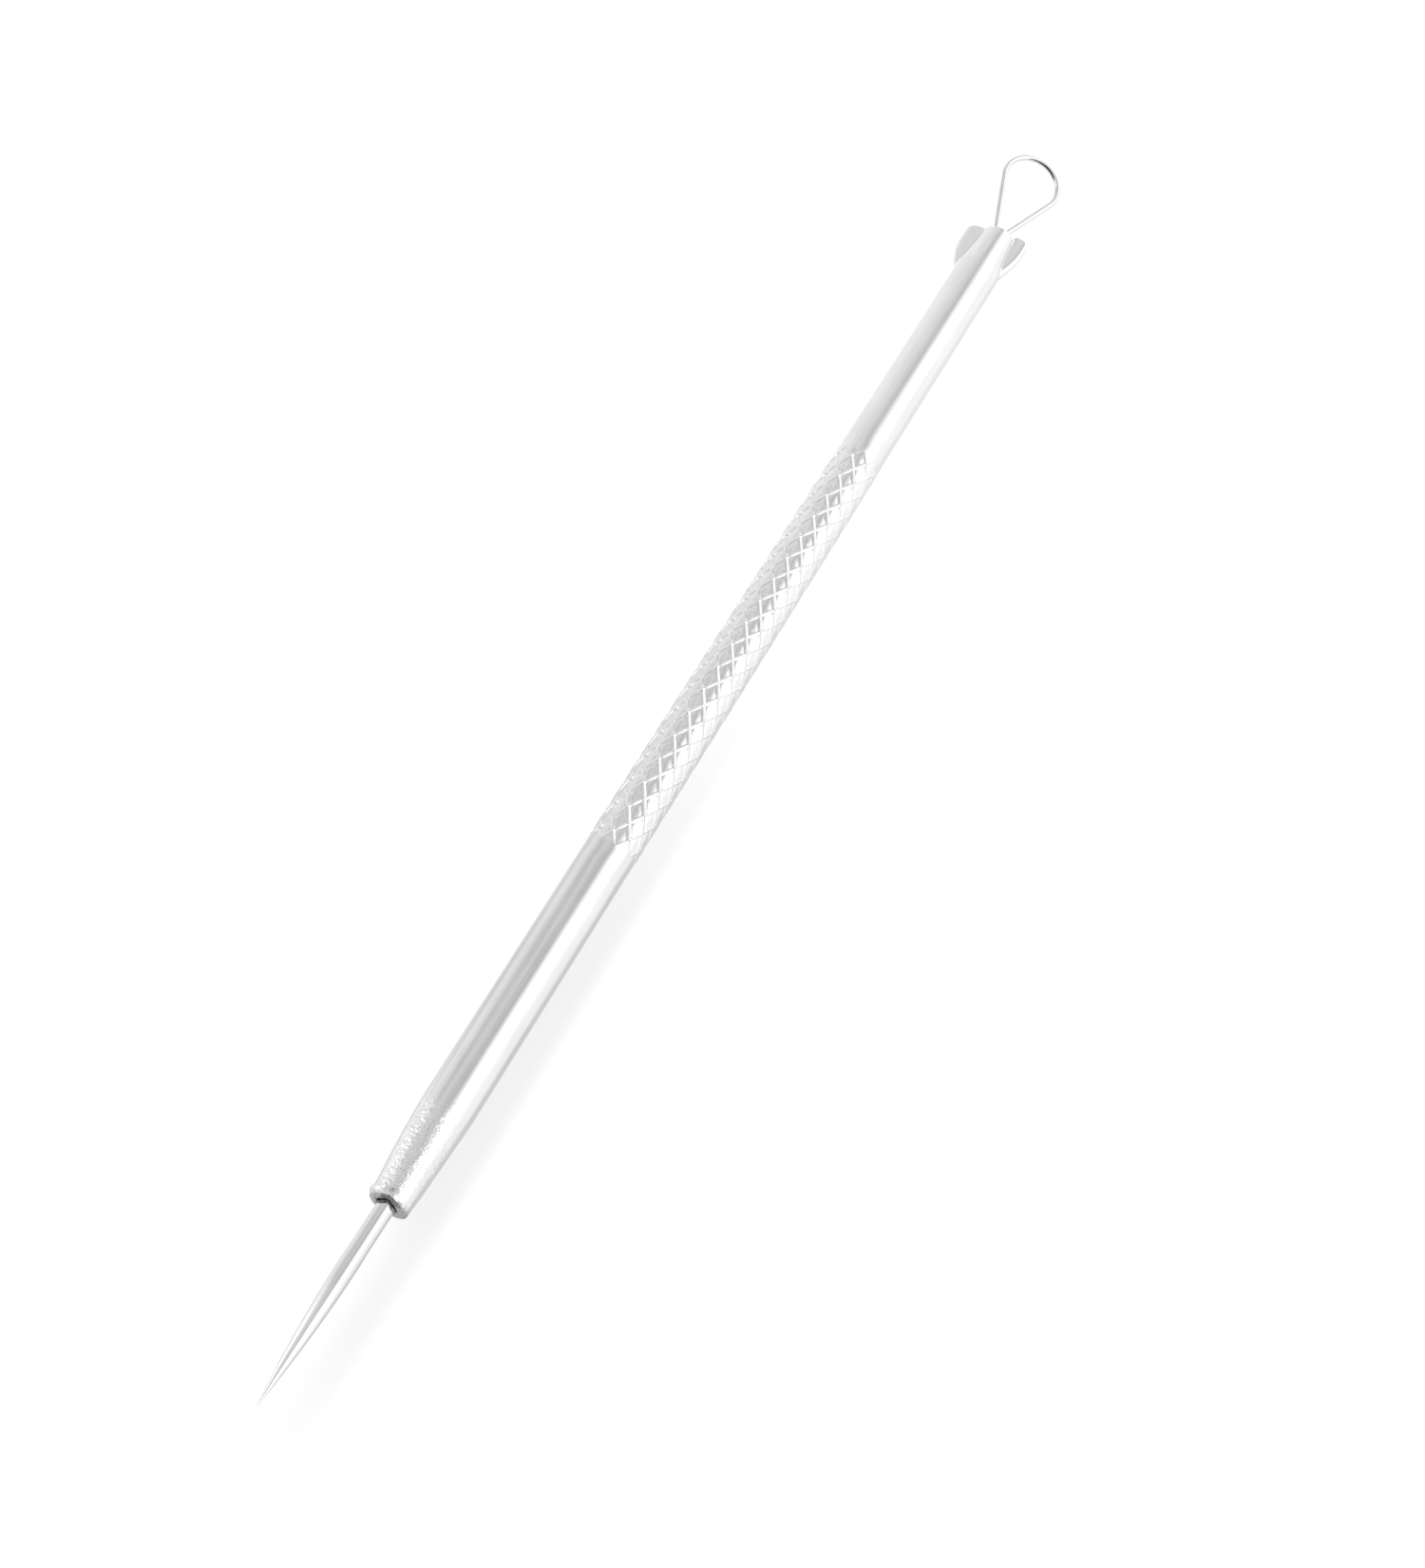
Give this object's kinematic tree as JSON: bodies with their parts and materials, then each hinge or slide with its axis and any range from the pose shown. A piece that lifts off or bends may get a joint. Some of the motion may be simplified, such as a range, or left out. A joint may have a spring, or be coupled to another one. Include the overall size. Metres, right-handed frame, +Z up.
{
  "type": "needle and loop hand tool",
  "caption": "Slender steel hand tool: a knurled tubular handle with a pointed needle at one end and a wire loop held between pressed fins at the other.",
  "frame": {"origin": "centre of the tube's mouth, where the needle leaves the handle", "axes": "+X runs along the handle from the needle's end towards the loop, the two pressed fins lie in the XY plane, and +Z is up"},
  "size_m": [0.129, 0.0058, 0.0042],
  "materials": {
    "handle_steel": "polished stainless steel with fine lengthwise drawing lines",
    "needle_steel": "ground and polished stainless steel",
    "bush_steel": "turned stainless steel, out of sight",
    "wire_steel": "bright drawn spring wire",
    "sleeve_steel": "turned stainless steel, out of sight"
  },
  "bodies": {
    "root": {"handle_tube": "handle_steel", "needle": "needle_steel", "needle_bush": "bush_steel", "wire_loop": "wire_steel", "leg_sleeve": "sleeve_steel"}
  },
  "joints": []
}
